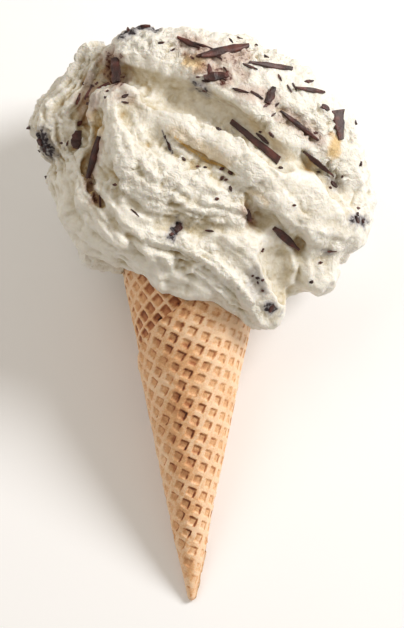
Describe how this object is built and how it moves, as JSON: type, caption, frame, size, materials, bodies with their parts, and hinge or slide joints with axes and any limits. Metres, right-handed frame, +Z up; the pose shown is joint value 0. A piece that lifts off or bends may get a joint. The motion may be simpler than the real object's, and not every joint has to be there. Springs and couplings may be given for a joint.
{
  "type": "ice cream cone",
  "caption": "Rolled waffle cone heaped with folded vanilla ice cream and dark chocolate shavings, lying on its back.",
  "frame": {"origin": "on the surface it lies on, under the middle of its bounding box", "axes": "+Y from the cone's tip towards the ice cream, +Z up, with the pictured side up; +X to the right as seen from above with the ice cream away from the viewer"},
  "size_m": [0.1316, 0.2064, 0.0881],
  "materials": {
    "waffle": "baked waffle, golden tan, dry and matte, browner in its squares",
    "ice_cream": "cream-white ice cream, moist, crumbly where it was pulled and smooth where the spatula pressed it",
    "chocolate": "dark chocolate, broken slivers with a soft sheen"
  },
  "bodies": {
    "root": {"waffle_cone": "waffle", "ice_cream": "ice_cream", "chocolate_shaving_01": "chocolate", "chocolate_shaving_02": "chocolate", "chocolate_shaving_03": "chocolate", "chocolate_shaving_04": "chocolate", "chocolate_shaving_05": "chocolate", "chocolate_shaving_06": "chocolate", "chocolate_shaving_07": "chocolate", "chocolate_shaving_08": "chocolate", "chocolate_shaving_09": "chocolate", "chocolate_shaving_10": "chocolate", "chocolate_shaving_11": "chocolate", "chocolate_shaving_12": "chocolate", "chocolate_shaving_13": "chocolate", "chocolate_shaving_14": "chocolate"}
  },
  "joints": []
}
